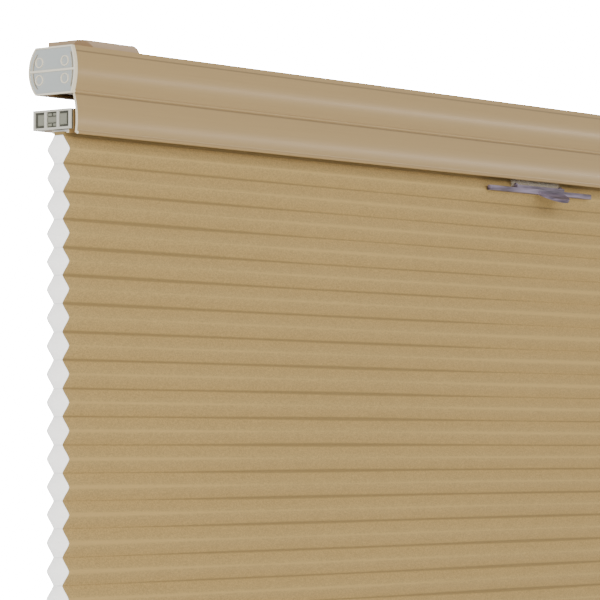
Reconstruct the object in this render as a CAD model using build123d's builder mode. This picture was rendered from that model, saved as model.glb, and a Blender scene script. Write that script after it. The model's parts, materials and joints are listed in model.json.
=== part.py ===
from build123d import *
import os
from math import hypot, pi, sqrt

# Top-down bottom-up cellular shade, hung under a ceiling. Millimetres, X along the width, front towards
# -Y, +Z up. The origin lies on the ceiling plane, over the middle of the headrail.

# ---- driving dimensions -------------------------------------------------------------------------
width = 1080.0  # over the two end caps
bracket_rise = 5.0  # ceiling to the top of the headrail

# headrail extrusion
barrel_height = 32.8
barrel_front = 21.8  # centre line to the front bulge
barrel_back = 22.0  # centre line to the back bulge
barrel_front_bulge = 3.1  # bulge past the edges of the flat top and bottom
barrel_back_bulge = 6.7
barrel_wall = 1.7
mouth_depth = 20.0  # open slot along the underside
slot_mouth = 16.0  # slot along the top, for the bracket hooks
slot_depth = 26.0
slot_height = 2.7
slot_floor = 1.5
skirt_bottom_z = -64.6  # centre of the bead along the skirt's lip
skirt_top_y = -18.7
skirt_mid_y = -21.8
skirt_lip_y = -21.2
skirt_wall = 2.0
notch_z = -36.5  # bead between the two front lobes
bead_radius = 1.1

# end caps of the headrail
cap_plate = 3.0
cap_plug_length = 12.0
cap_plug_wall = 1.6
cap_rim = 1.2
cap_panel_recess = 0.8
cap_groove_recess = 1.6
cap_grooves = {-1: (1.6, 1.8), 1: (3.2, 1.4)}  # front and back: inset from the edge, and width
cap_groove_end = 4.5  # from the top and from the bottom
cap_rib = 1.5
cap_boss_y = 12.0
cap_boss_z = 6.0  # above and below mid-height
cap_boss_radius = 3.6
cap_boss_wall = 0.7

# ceiling brackets, pressed sheet steel
bracket_width = 59.0
bracket_inset = 13.0  # from the end of the shade
bracket_depth = 31.0
bracket_sheet = 1.2
bracket_nose = 9.5  # length of the rounded end
bracket_corner = 13.0  # cut-off corner at its base, along the front
bracket_corner_depth = 10.0  # and along the side
bracket_corner_top = 4.5  # and along the front at the ceiling
ceiling_hole_radius = 2.25
ceiling_hole_spread = 18.0  # between the two holes of one bracket
hook_width = 14.0
hook_toe = 3.2

# shafts, spools and cords
shaft_across = 4.0
shaft_margin = 28.0  # past the spool stations
shaft_z = -23.5
station_x = 380.0  # cords on each side of the middle
lower_cord_y = -4.5
upper_cord_y = 3.5
cord_radius = 0.6
spool_radius = 5.4
spool_flange_radius = 7.8
spool_flange = 1.2
spool_length = 38.0
winding_length = 24.0
journal_radius = 4.0
journal_length = 4.0
cradle_wall = 3.0
cradle_base = 2.5
cradle_head_room = 1.0
anchor_radius = 2.8
anchor_height = 5.0
anchor_depth = 4.0  # of the cord inside its anchor
grommet_radius = 2.0
grommet_flange_radius = 2.8
grommet_flange = 0.8

# spring motors
motor_x = 60.0  # lower motor at -motor_x, upper motor at +motor_x
motor_length = 50.0
motor_radius = 8.8
motor_wall = 1.0
motor_end = 2.5
motor_foot_depth = 8.0
arbor_radius = 3.6
spring_strip = 0.4
spring_pitch = 0.9
spring_half_turns = 8

# middle and bottom rails
middle_rail_top_z = -48.0
middle_rail_height = 13.8
bottom_rail_height = 16.0
rail_depth = 35.0
rail_wall = 1.5
rail_web = 1.2
rail_web_y = 8.6
rib_wall = 1.2
rib_foot = 2.4
rib_foot_height = 1.0
strip_thickness = 1.4
strip_depth = 13.0
frame_plate = 1.8  # windowed end frame
plug_plate = 1.2
plug_tongue = 12.0
window_border = 1.6
mullion = 2.0
mullion_y = 5.8
mullion_peg_radius = 0.8
mullion_peg_length = 6.0

# pull handles
handle_length = 138.0
handle_blade_depth = 5.0
handle_blade_height = 3.8
handle_plate = 1.6
handle_plate_width = 64.0
handle_drop = 14.0  # rail underside to the underside of the blade
handle_tab_width = 8.0
handle_catch = 1.0
handle_pin_radius = 1.7
handle_pin_spread = 60.0
handle_pin_reach = 3.0
handle_pin_drop = 7.9  # rail underside to the middle of a pin
handle_shelf_rise = 0.9  # shelf above the blade, clear of the first fabric crease
tongue_width = 34.0
tongue_reach = 18.0
tongue_sheet = 2.4
tongue_slope = 25.0  # degrees below level
tongue_middle_x = 11.0  # off the middle, towards the right end

# honeycomb fabric
fabric_y = -6.0
cell_pitch = 19.05
cell_count = 58
glue_width = 8.4
crease_reach = 6.65  # crease stands out past the glue line
fabric_wall = 0.4
fabric_neck = 2.4
fabric_side_gap = 1.0

# weight bar
weight_height = 3.2
weight_margin = 35.0

# clearances
running = 0.05  # shaft journal in its bearing, on radius
sliding = 0.2  # pieces pushed together
loose = 0.4  # moulded insert inside an extrusion
cord_hole_clearance = 0.8  # cord in a hole, on radius
bore_clearance = 0.1  # cord end in its anchor, square shaft in its bore

# ---- worked-out values --------------------------------------------------------------------------
half_width = width / 2
rail_top_z = -bracket_rise
barrel_mid_z = rail_top_z - barrel_height / 2
barrel_bottom_z = rail_top_z - barrel_height
barrel_depth = barrel_front + barrel_back
headrail_length = width - 2 * cap_plate
slot_top_z = rail_top_z - barrel_wall
slot_floor_z = slot_top_z - slot_height
cavity_top_z = slot_floor_z - slot_floor
cavity_bottom_z = barrel_bottom_z + barrel_wall
cord_reach = spool_radius + 2 * running + cord_radius
winding_radius = cord_reach + cord_radius + running
lower_shaft_y = lower_cord_y - cord_reach
upper_shaft_y = upper_cord_y + cord_reach
cord_hole_radius = cord_radius + cord_hole_clearance
shaft_length = 2 * (station_x + shaft_margin)
cradle_length = spool_length + 2 * (cradle_wall + sliding)
middle_rail_bottom_z = middle_rail_top_z - middle_rail_height
rib_height = sliding + strip_thickness + rib_foot_height
first_glue_z = middle_rail_bottom_z - sliding - strip_thickness - fabric_neck
last_glue_z = first_glue_z - cell_count * cell_pitch
bottom_rail_top_z = last_glue_z - fabric_neck - strip_thickness - sliding
bottom_rail_bottom_z = bottom_rail_top_z - bottom_rail_height
rail_length = width - 2 * (frame_plate + plug_plate)
fabric_length = width - 2 * fabric_side_gap
handle_plate_y = -(rail_depth / 2 - rail_wall - sliding - handle_plate / 2)
tab_slot_y = handle_plate_y + handle_catch / 2
tab_slot_depth = handle_plate + handle_catch + 2 * sliding
blade_back_y = fabric_y - glue_width / 2 - crease_reach - fabric_wall / 2 - loose
blade_y = blade_back_y - handle_blade_depth / 2
rib_spread = strip_depth + 2 * sliding + rib_wall
bracket_centre_x = half_width - bracket_inset - bracket_width / 2
sides = {"left": -1, "right": 1}

os.makedirs("parts", exist_ok=True)


def save(piece, node):
    """Labels a finished piece and writes it as its node."""
    piece.label = node
    export_step(piece, f"parts/{node}.step")


def section(x):
    """Cross-section plane at x: sketch x runs along +Y and sketch y along +Z."""
    return Plane.YZ.offset(x)


def level(z):
    """Horizontal plane at height z."""
    return Plane.XY.offset(z)


def upright(y):
    """Upright plane across the depth at y: sketch x runs along +X, sketch y along +Z, facing the front."""
    return Plane.XZ.offset(-y)


def barrel_y(side_y, z, inset=0.0):
    """The y of the barrel's front (-1) or back (1) at height z, stepped in by inset."""
    reach, bulge = (barrel_front, barrel_front_bulge) if side_y < 0 else (barrel_back, barrel_back_bulge)
    radius = ((barrel_height / 2) ** 2 + bulge**2) / (2 * bulge)
    rise = z - barrel_mid_z
    return side_y * (reach - radius + sqrt((radius - inset) ** 2 - rise**2))


def draw_barrel(inset, top_z=None, mode=Mode.ADD):
    """Draws the barrel's section, stepped in by inset and cut off level at top_z."""
    high = rail_top_z - inset if top_z is None else top_z
    low = barrel_bottom_z + inset
    front = [(barrel_y(-1, z, inset), z) for z in (high, (high + low) / 2, low)]
    back = [(barrel_y(1, z, inset), z) for z in (high, (high + low) / 2, low)]
    with BuildLine() as outline:
        Line(front[0], back[0])
        ThreePointArc(*back)
        Line(back[2], front[2])
        ThreePointArc(*front)
    make_face(outline.edges(), mode=mode)


def draw_box(low, high, mode=Mode.ADD):
    """Draws the rectangle between two opposite corners."""
    with Locations(((low[0] + high[0]) / 2, (low[1] + high[1]) / 2)):
        Rectangle(high[0] - low[0], high[1] - low[1], mode=mode)


def draw_circle(y, z, radius, mode=Mode.ADD):
    """Draws a circle at a point of the sketch."""
    with Locations((y, z)):
        Circle(radius, mode=mode)


# ---- headrail -----------------------------------------------------------------------------------
def draw_skirt():
    """Draws the fascia's lower lobe, which hangs below the barrel's front edge."""
    middle_z = (notch_z + skirt_bottom_z) / 2
    root_z = notch_z + 2 * bead_radius
    with BuildLine() as outline:
        Line((skirt_top_y, root_z), (skirt_top_y, notch_z))
        ThreePointArc((skirt_top_y, notch_z), (skirt_mid_y, middle_z), (skirt_lip_y, skirt_bottom_z))
        Line((skirt_lip_y, skirt_bottom_z), (skirt_lip_y + skirt_wall, skirt_bottom_z))
        ThreePointArc(
            (skirt_lip_y + skirt_wall, skirt_bottom_z),
            (skirt_mid_y + skirt_wall, middle_z),
            (skirt_top_y + skirt_wall, notch_z),
        )
        Line((skirt_top_y + skirt_wall, notch_z), (skirt_top_y + skirt_wall, root_z))
        Line((skirt_top_y + skirt_wall, root_z), (skirt_top_y, root_z))
    make_face(outline.edges())


with BuildPart() as headrail:
    with BuildSketch(section(-headrail_length / 2)):
        draw_skirt()
        draw_barrel(0)
        draw_circle(barrel_y(-1, rail_top_z - bead_radius), rail_top_z - bead_radius, bead_radius)
        draw_circle(skirt_top_y, notch_z, bead_radius)
        draw_circle(skirt_lip_y - bead_radius / 2, skirt_bottom_z, bead_radius)
        draw_barrel(barrel_wall, cavity_top_z, Mode.SUBTRACT)
        draw_box((-slot_depth / 2, slot_floor_z), (slot_depth / 2, slot_top_z), Mode.SUBTRACT)
        draw_box((-slot_mouth / 2, slot_top_z), (slot_mouth / 2, rail_top_z + 1), Mode.SUBTRACT)
        draw_box((-mouth_depth / 2, barrel_bottom_z - 1), (mouth_depth / 2, cavity_bottom_z), Mode.SUBTRACT)
    extrude(amount=headrail_length)
save(headrail.part, "headrail")


# ---- headrail end caps --------------------------------------------------------------------------
def draw_cap_groove(side_y):
    """Draws one curved groove that follows the barrel's front or back edge inside the cap's face."""
    inset, groove_width = cap_grooves[side_y]
    heights = (rail_top_z - cap_groove_end, barrel_mid_z, barrel_bottom_z + cap_groove_end)
    outer = [(barrel_y(side_y, z, inset), z) for z in heights]
    inner = [(barrel_y(side_y, z, inset + groove_width), z) for z in heights]
    with BuildLine() as outline:
        ThreePointArc(*outer)
        Line(outer[2], inner[2])
        ThreePointArc(*inner)
        Line(inner[0], outer[0])
    make_face(outline.edges())


for side, sign in sides.items():
    face_x = sign * half_width
    inner_x = sign * (half_width - cap_plate)
    rib = ((-barrel_depth, barrel_mid_z - cap_rib / 2), (barrel_depth, barrel_mid_z + cap_rib / 2))
    with BuildPart() as end_cap:
        with BuildSketch(section(inner_x)):
            draw_barrel(0)
        extrude(amount=sign * cap_plate)
        with BuildSketch(section(face_x)):
            draw_barrel(cap_rim)
            draw_box(*rib, Mode.SUBTRACT)
        extrude(amount=-sign * cap_panel_recess, mode=Mode.SUBTRACT)
        for side_y in (-1, 1):
            with BuildSketch(section(face_x - sign * cap_panel_recess)):
                draw_cap_groove(side_y)
                draw_box(*rib, Mode.SUBTRACT)
            extrude(amount=-sign * (cap_groove_recess - cap_panel_recess), mode=Mode.SUBTRACT)
        with BuildSketch(section(face_x - sign * cap_panel_recess)):
            for boss_y in (-1, 1):
                for boss_z in (-1, 1):
                    y = boss_y * cap_boss_y
                    z = barrel_mid_z + boss_z * cap_boss_z
                    draw_circle(y, z, cap_boss_radius)
                    draw_circle(y, z, cap_boss_radius - cap_boss_wall, Mode.SUBTRACT)
        extrude(amount=sign * cap_panel_recess)
        with BuildSketch(section(inner_x)):
            draw_barrel(barrel_wall + sliding, cavity_top_z - sliding)
            draw_barrel(barrel_wall + sliding + cap_plug_wall, cavity_top_z - sliding - cap_plug_wall,
                        Mode.SUBTRACT)
        extrude(amount=-sign * cap_plug_length)
    save(end_cap.part, f"end_cap_{side}")


# ---- ceiling brackets ---------------------------------------------------------------------------
def draw_bracket_side(inset):
    """Draws the bracket's front outline, with its rounded nose towards +X, stepped in by inset."""
    left = -bracket_width / 2 + inset
    right = bracket_width / 2 - inset
    top = -inset
    shoulder = bracket_width / 2 - bracket_nose
    bend = (shoulder + (right - shoulder) * sqrt(0.5), rail_top_z - (rail_top_z - top) * sqrt(0.5))
    with BuildLine() as outline:
        Line((left, rail_top_z), (left, top))
        Line((left, top), (shoulder, top))
        ThreePointArc((shoulder, top), bend, (right, rail_top_z))
        Line((right, rail_top_z), (left, rail_top_z))
    make_face(outline.edges())


with BuildPart() as bracket_pattern:
    with BuildSketch(upright(-bracket_depth / 2)):
        draw_bracket_side(0)
    extrude(amount=-bracket_depth)
    corner_foot = (-bracket_width / 2 + bracket_corner, -bracket_depth / 2, rail_top_z)
    corner_side = (-bracket_width / 2, -bracket_depth / 2 + bracket_corner_depth, rail_top_z)
    corner_top = (-bracket_width / 2 + bracket_corner_top, -bracket_depth / 2, 0)
    cut_normal = (Vector(*corner_side) - Vector(*corner_foot)).cross(
        Vector(*corner_top) - Vector(*corner_foot)
    )
    corner_cut = Plane(origin=corner_foot, z_dir=cut_normal)
    split(bisect_by=corner_cut, keep=Keep.TOP)
    with BuildPart(mode=Mode.SUBTRACT):
        with BuildSketch(upright(-bracket_depth / 2 + bracket_sheet)):
            draw_bracket_side(bracket_sheet)
        extrude(amount=-(bracket_depth - 2 * bracket_sheet))
        split(bisect_by=corner_cut.offset(bracket_sheet), keep=Keep.TOP)
    hook_leg_y = slot_mouth / 2 - sliding - bracket_sheet
    toe_top_z = slot_top_z - sliding
    for side_y in (-1, 1):
        with BuildSketch(section(-hook_width / 2)):
            draw_box(
                (min(side_y * hook_leg_y, side_y * (hook_leg_y + bracket_sheet)), toe_top_z - bracket_sheet),
                (max(side_y * hook_leg_y, side_y * (hook_leg_y + bracket_sheet)), 0),
            )
            draw_box(
                (min(side_y * hook_leg_y, side_y * (hook_leg_y + hook_toe)), toe_top_z - bracket_sheet),
                (max(side_y * hook_leg_y, side_y * (hook_leg_y + hook_toe)), toe_top_z),
            )
        extrude(amount=hook_width)
    with BuildSketch(level(0)):
        with GridLocations(0, ceiling_hole_spread, 1, 2):
            Circle(ceiling_hole_radius)
    extrude(amount=-2 * bracket_sheet, mode=Mode.SUBTRACT)

save(bracket_pattern.part.moved(Location((-bracket_centre_x, 0, 0))), "bracket_left")
save(bracket_pattern.part.mirror(Plane.YZ).moved(Location((bracket_centre_x, 0, 0))), "bracket_right")

# ---- cradles, which carry both shafts at each cord station --------------------------------------
for side, sign in sides.items():
    middle_x = sign * station_x
    with BuildPart() as cradle:
        with BuildSketch(section(middle_x - cradle_length / 2)):
            draw_barrel(barrel_wall + loose, cavity_bottom_z + cradle_base)
            foot_z = cavity_bottom_z + loose
            foot_edges = [barrel_y(side_y, foot_z, barrel_wall + loose) for side_y in (-1, 1)]
            draw_box((foot_edges[0], cavity_bottom_z), (foot_edges[1], foot_z))
            draw_box((-barrel_depth, barrel_bottom_z), (barrel_depth, cavity_bottom_z), Mode.SUBTRACT)
        extrude(amount=cradle_length)
        for end in (-1, 1):
            with BuildSketch(section(middle_x + end * cradle_length / 2)):
                draw_barrel(barrel_wall + loose, cavity_top_z - cradle_head_room)
                draw_box((-barrel_depth, barrel_bottom_z), (barrel_depth, cavity_bottom_z + cradle_base),
                         Mode.SUBTRACT)
                draw_circle(lower_shaft_y, shaft_z, journal_radius + running, Mode.SUBTRACT)
                draw_circle(upper_shaft_y, shaft_z, journal_radius + running, Mode.SUBTRACT)
            extrude(amount=-end * cradle_wall)
        with BuildSketch(level(cavity_bottom_z)):
            with Locations((middle_x, lower_cord_y), (middle_x, upper_cord_y)):
                Circle(cord_hole_radius)
        extrude(amount=cradle_base, mode=Mode.SUBTRACT)
    save(cradle.part, f"cradle_{side}")

# ---- shafts, spools, arbors and spring motors ---------------------------------------------------
# each drive: shaft centre, middle of its motor, cord line, and where its cords end
drives = {
    "lower": (lower_shaft_y, -motor_x, lower_cord_y, bottom_rail_top_z - rail_wall),
    "upper": (upper_shaft_y, motor_x, upper_cord_y, middle_rail_top_z - rail_wall),
}


def draw_spiral():
    """Draws the spring strip's section round the origin: half turns that grow from the arbor outwards."""
    inner = []
    outer = []
    radius = arbor_radius + bore_clearance + spring_strip / 2
    centre = 0.0
    heading = 1
    for _ in range(spring_half_turns):
        for edges, shift in ((inner, -spring_strip / 2), (outer, spring_strip / 2)):
            reach = radius + shift
            edges.append(
                ((centre - heading * reach, 0), (centre, heading * reach), (centre + heading * reach, 0))
            )
        centre -= heading * spring_pitch / 4
        radius += spring_pitch / 4
        heading = -heading
    with BuildLine() as outline:
        for start, middle, end in inner + outer:
            ThreePointArc(start, middle, end)
        Line(inner[0][0], outer[0][0])
        Line(inner[-1][2], outer[-1][2])
    make_face(outline.edges())


for drive, (shaft_y, middle_x, cord_y, cord_end_z) in drives.items():
    with BuildPart() as shaft:
        with BuildSketch(section(-shaft_length / 2)):
            with Locations((shaft_y, shaft_z)):
                Rectangle(shaft_across, shaft_across)
        extrude(amount=shaft_length)
    save(shaft.part, f"{drive}_shaft")

    for side, sign in sides.items():
        spool_x = sign * station_x
        with BuildPart() as spool:
            with BuildSketch(section(spool_x - spool_length / 2)):
                draw_circle(shaft_y, shaft_z, spool_radius)
            extrude(amount=spool_length)
            for end in (-1, 1):
                with BuildSketch(section(spool_x + end * spool_length / 2)):
                    draw_circle(shaft_y, shaft_z, spool_flange_radius)
                extrude(amount=-end * spool_flange)
                with BuildSketch(section(spool_x + end * spool_length / 2)):
                    draw_circle(shaft_y, shaft_z, journal_radius)
                extrude(amount=end * journal_length)
            with BuildSketch(section(spool_x - spool_length)):
                with Locations((shaft_y, shaft_z)):
                    Rectangle(shaft_across + 2 * bore_clearance, shaft_across + 2 * bore_clearance)
            extrude(amount=2 * spool_length, mode=Mode.SUBTRACT)
        save(spool.part, f"{drive}_spool_{side}")

        with BuildPart() as cord:
            with BuildSketch(section(spool_x - winding_length / 2)):
                draw_circle(shaft_y, shaft_z, winding_radius)
                draw_circle(shaft_y, shaft_z, spool_radius + running, Mode.SUBTRACT)
            extrude(amount=winding_length)
            with BuildSketch(level(cord_end_z - anchor_depth)):
                with Locations((spool_x, cord_y)):
                    Circle(cord_radius)
            extrude(amount=shaft_z - cord_end_z + anchor_depth)
        save(cord.part, f"{drive}_cord_{side}")

        with BuildPart() as anchor:
            with BuildSketch(level(cord_end_z)):
                with Locations((spool_x, cord_y)):
                    Circle(anchor_radius)
            extrude(amount=-anchor_height)
            with BuildSketch(level(cord_end_z)):
                with Locations((spool_x, cord_y)):
                    Circle(cord_radius + bore_clearance)
            extrude(amount=-anchor_depth - bore_clearance, mode=Mode.SUBTRACT)
        save(anchor.part, f"{drive}_cord_anchor_{side}")

    with BuildPart() as arbor:
        with BuildSketch(section(middle_x - motor_length / 2)):
            draw_circle(shaft_y, shaft_z, arbor_radius)
            with Locations((shaft_y, shaft_z)):
                Rectangle(shaft_across + 2 * bore_clearance, shaft_across + 2 * bore_clearance,
                          mode=Mode.SUBTRACT)
        extrude(amount=motor_length)
    save(arbor.part, f"{drive}_arbor")

    with BuildPart() as motor_case:
        with BuildSketch(section(middle_x - motor_length / 2)):
            draw_circle(shaft_y, shaft_z, motor_radius)
            foot = motor_foot_depth / 2
            draw_box((shaft_y - foot, cavity_bottom_z), (shaft_y + foot, shaft_z))
        extrude(amount=motor_length - motor_end)
        with BuildSketch(section(middle_x - motor_length / 2 + motor_end)):
            draw_circle(shaft_y, shaft_z, motor_radius - motor_wall)
        extrude(amount=motor_length, mode=Mode.SUBTRACT)
        with BuildSketch(section(middle_x - motor_length / 2)):
            draw_circle(shaft_y, shaft_z, arbor_radius + running)
        extrude(amount=motor_end, mode=Mode.SUBTRACT)
    save(motor_case.part, f"{drive}_motor_case")

    with BuildPart() as motor_cover:
        with BuildSketch(section(middle_x + motor_length / 2)):
            draw_circle(shaft_y, shaft_z, motor_radius)
            draw_circle(shaft_y, shaft_z, arbor_radius + running, Mode.SUBTRACT)
        extrude(amount=-motor_end)
        with BuildSketch(section(middle_x + motor_length / 2 - motor_end)):
            draw_circle(shaft_y, shaft_z, motor_radius - motor_wall - running)
            draw_circle(shaft_y, shaft_z, motor_radius - 2 * motor_wall, Mode.SUBTRACT)
        extrude(amount=-motor_end)
    save(motor_cover.part, f"{drive}_motor_cover")

    spring_length = motor_length - 4 * motor_end
    spring_plane = Plane(origin=(middle_x - spring_length / 2, shaft_y, shaft_z), x_dir=(0, 1, 0),
                         z_dir=(1, 0, 0))
    with BuildPart() as spring:
        with BuildSketch(spring_plane):
            draw_spiral()
        extrude(amount=spring_length)
    save(spring.part, f"{drive}_motor_spring")


# ---- rails --------------------------------------------------------------------------------------
def draw_rail(wall_z, far_z):
    """Draws a rail's section. wall_z is the side that holds the fabric strip, and far_z the other."""
    outward = 1 if wall_z > far_z else -1
    draw_box((-rail_depth / 2, min(wall_z, far_z)), (rail_depth / 2, max(wall_z, far_z)))
    inner_low = min(wall_z, far_z) + rail_wall
    inner_high = max(wall_z, far_z) - rail_wall
    web_face = rail_web_y - rail_web / 2
    draw_box((-rail_depth / 2 + rail_wall, inner_low), (-web_face - rail_web, inner_high), Mode.SUBTRACT)
    draw_box((-web_face, inner_low), (web_face, inner_high), Mode.SUBTRACT)
    draw_box((web_face + rail_web, inner_low), (rail_depth / 2 - rail_wall, inner_high), Mode.SUBTRACT)
    foot_z = wall_z + outward * (rib_height - rib_foot_height)
    tip_z = wall_z + outward * rib_height
    for side_y in (-1, 1):
        middle_y = fabric_y + side_y * rib_spread / 2
        leg = (middle_y - rib_wall / 2, middle_y + rib_wall / 2)
        draw_box((leg[0], min(wall_z, tip_z)), (leg[1], max(wall_z, tip_z)))
        toe = (leg[1] - rib_foot, leg[1]) if side_y > 0 else (leg[0], leg[0] + rib_foot)
        draw_box((toe[0], min(foot_z, tip_z)), (toe[1], max(foot_z, tip_z)))


def cut_cord_holes(top_z, depth, cord_y, radius):
    """Cuts the two cord holes downwards from top_z through the part being built."""
    with BuildSketch(level(top_z)) as holes:
        with Locations((-station_x, cord_y), (station_x, cord_y)):
            Circle(radius)
    extrude(holes.sketch, amount=-depth, mode=Mode.SUBTRACT)




def cut_tab_slots(bottom_z):
    """Cuts the two slots in a rail's underside that take the handle's tabs."""
    with BuildSketch(level(bottom_z)) as slots:
        with Locations((-handle_pin_spread / 2, tab_slot_y), (handle_pin_spread / 2, tab_slot_y)):
            Rectangle(handle_tab_width + 2 * sliding, tab_slot_depth)
    extrude(slots.sketch, amount=rail_wall, mode=Mode.SUBTRACT)


with BuildPart() as middle_rail:
    with BuildSketch(section(-rail_length / 2)):
        draw_rail(middle_rail_bottom_z, middle_rail_top_z)
    extrude(amount=rail_length)
    cut_cord_holes(middle_rail_top_z, middle_rail_height, lower_cord_y, grommet_radius + sliding)
    cut_cord_holes(middle_rail_top_z, rail_wall, upper_cord_y, cord_hole_radius)
    cut_tab_slots(middle_rail_bottom_z)
save(middle_rail.part, "middle_rail")

with BuildPart() as bottom_rail:
    with BuildSketch(section(-rail_length / 2)):
        draw_rail(bottom_rail_top_z, bottom_rail_bottom_z)
    extrude(amount=rail_length)
    cut_cord_holes(bottom_rail_top_z, rail_wall, lower_cord_y, cord_hole_radius)
    cut_tab_slots(bottom_rail_bottom_z)
save(bottom_rail.part, "bottom_rail")

for side, sign in sides.items():
    with BuildPart() as grommet:
        with BuildSketch(level(middle_rail_top_z)):
            with Locations((sign * station_x, lower_cord_y)):
                Circle(grommet_flange_radius)
        extrude(amount=grommet_flange)
        with BuildSketch(level(middle_rail_top_z)):
            with Locations((sign * station_x, lower_cord_y)):
                Circle(grommet_radius)
        extrude(amount=-middle_rail_height)
        with BuildSketch(level(middle_rail_top_z + grommet_flange)):
            with Locations((sign * station_x, lower_cord_y)):
                Circle(cord_radius + cord_hole_clearance / 2)
        extrude(amount=-middle_rail_height - grommet_flange, mode=Mode.SUBTRACT)
    save(grommet.part, f"cord_grommet_{side}")

for node, low_z in (
    ("fabric_strip_top", middle_rail_bottom_z - sliding - strip_thickness),
    ("fabric_strip_bottom", bottom_rail_top_z + sliding),
):
    with BuildPart() as strip:
        with BuildSketch(section(-rail_length / 2)):
            near = (fabric_y - strip_depth / 2, low_z)
            draw_box(near, (fabric_y + strip_depth / 2, low_z + strip_thickness))
        extrude(amount=rail_length)
        cut_cord_holes(low_z + strip_thickness, strip_thickness, lower_cord_y, cord_hole_radius)
    save(strip.part, node)

with BuildPart() as weight_bar:
    with BuildSketch(section(-half_width + weight_margin)):
        draw_box(
            (rail_web_y + rail_web / 2 + sliding, bottom_rail_bottom_z + rail_wall),
            (rail_depth / 2 - rail_wall - sliding, bottom_rail_bottom_z + rail_wall + weight_height),
        )
    extrude(amount=width - 2 * weight_margin)
save(weight_bar.part, "weight_bar")


# ---- ends of the rails --------------------------------------------------------------------------
def chambers(low_z, high_z, clearance):
    """The rail's three chambers as pairs of corners, stepped in by clearance."""
    web_face = rail_web_y - rail_web / 2
    spans = (
        (-rail_depth / 2 + rail_wall, -web_face - rail_web),
        (-web_face, web_face),
        (web_face + rail_web, rail_depth / 2 - rail_wall),
    )
    return [
        (
            (near + clearance, low_z + rail_wall + clearance),
            (far - clearance, high_z - rail_wall - clearance),
        )
        for near, far in spans
    ]


for rail, low_z, high_z in (
    ("middle_rail", middle_rail_bottom_z, middle_rail_top_z),
    ("bottom_rail", bottom_rail_bottom_z, bottom_rail_top_z),
):
    for side, sign in sides.items():
        plug_x = sign * (half_width - frame_plate)
        with BuildPart() as plug:
            with BuildSketch(section(plug_x)):
                draw_box((-rail_depth / 2, low_z), (rail_depth / 2, high_z))
            extrude(amount=-sign * plug_plate)
            with BuildSketch(section(plug_x - sign * plug_plate)):
                for low, high in chambers(low_z, high_z, sliding):
                    draw_box(low, high)
                    wall = rail_wall
                    draw_box((low[0] + wall, low[1] + wall), (high[0] - wall, high[1] - wall), Mode.SUBTRACT)
            extrude(amount=-sign * plug_tongue)
            with BuildSketch(section(plug_x)):
                for side_y in (-1, 1):
                    draw_circle(side_y * mullion_y, (low_z + high_z) / 2, mullion_peg_radius + sliding)
            extrude(amount=-sign * (plug_plate + plug_tongue), mode=Mode.SUBTRACT)
        save(plug.part, f"{rail}_plug_{side}")

        with BuildPart() as frame:
            with BuildSketch(section(plug_x)):
                draw_box((-rail_depth / 2, low_z), (rail_depth / 2, high_z))
                edge = rail_depth / 2 - window_border
                inner = mullion_y + mullion / 2
                bottom = low_z + window_border
                top = high_z - window_border
                draw_box((-edge, bottom), (-inner, top), Mode.SUBTRACT)
                draw_box((-mullion_y + mullion / 2, bottom), (mullion_y - mullion / 2, top), Mode.SUBTRACT)
                draw_box((inner, bottom), (edge, top), Mode.SUBTRACT)
            extrude(amount=sign * frame_plate)
            with BuildSketch(section(plug_x)):
                for side_y in (-1, 1):
                    draw_circle(side_y * mullion_y, (low_z + high_z) / 2, mullion_peg_radius)
            extrude(amount=-sign * mullion_peg_length)
        save(frame.part, f"{rail}_cap_{side}")

# ---- pull handles -------------------------------------------------------------------------------
for rail, bottom_z in (("middle_rail", middle_rail_bottom_z), ("bottom_rail", bottom_rail_bottom_z)):
    blade_low_z = bottom_z - handle_drop
    blade_top_z = blade_low_z + handle_blade_height
    with BuildPart() as handle:
        with BuildSketch(level(blade_low_z)):
            with Locations((0, blade_y)):
                SlotOverall(handle_length, handle_blade_depth)
        extrude(amount=handle_blade_height)
        shelf_low_z = blade_top_z + handle_shelf_rise
        plate_back_y = handle_plate_y + handle_plate / 2
        with BuildSketch(section(-handle_plate_width / 2)):
            draw_box((handle_plate_y - handle_plate / 2, shelf_low_z), (plate_back_y, bottom_z))
            draw_box((blade_y - handle_plate / 2, shelf_low_z), (plate_back_y, shelf_low_z + handle_plate))
            draw_box((blade_y - handle_plate / 2, blade_low_z), (blade_y + handle_plate / 2, shelf_low_z))
        extrude(amount=handle_plate_width)
        with BuildSketch(upright(plate_back_y)):
            for side_x in (-1, 1):
                middle = side_x * handle_pin_spread / 2
                draw_box(
                    (middle - handle_tab_width / 2, bottom_z),
                    (middle + handle_tab_width / 2, bottom_z + rail_wall + sliding + handle_catch),
                )
        extrude(amount=handle_plate)
        for side_x in (-1, 1):
            catch_x = side_x * handle_pin_spread / 2
            catch_low_z = bottom_z + rail_wall + sliding
            with BuildSketch(level(catch_low_z)):
                draw_box(
                    (catch_x - handle_tab_width / 2, handle_plate_y),
                    (catch_x + handle_tab_width / 2, handle_plate_y + handle_plate / 2 + handle_catch),
                )
            extrude(amount=handle_catch)
        with BuildSketch(upright(handle_plate_y)):
            for side_x in (-1, 1):
                draw_circle(side_x * handle_pin_spread / 2, bottom_z - handle_pin_drop, handle_pin_radius)
        extrude(amount=handle_plate / 2 + handle_pin_reach)
        tongue_plane = Plane(
            origin=(tongue_middle_x, blade_y, blade_low_z + handle_blade_height / 2),
            x_dir=(1, 0, 0),
            z_dir=(0, 0, 1),
        ).rotated((tongue_slope, 0, 0))
        with BuildSketch(tongue_plane):
            with Locations((0, -tongue_reach + tongue_width / 2)):
                Circle(tongue_width / 2)
            draw_box((-tongue_width, 0), (tongue_width, tongue_width), Mode.SUBTRACT)
        extrude(amount=tongue_sheet / 2, both=True)
    save(handle.part, f"{rail}_handle")

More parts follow.
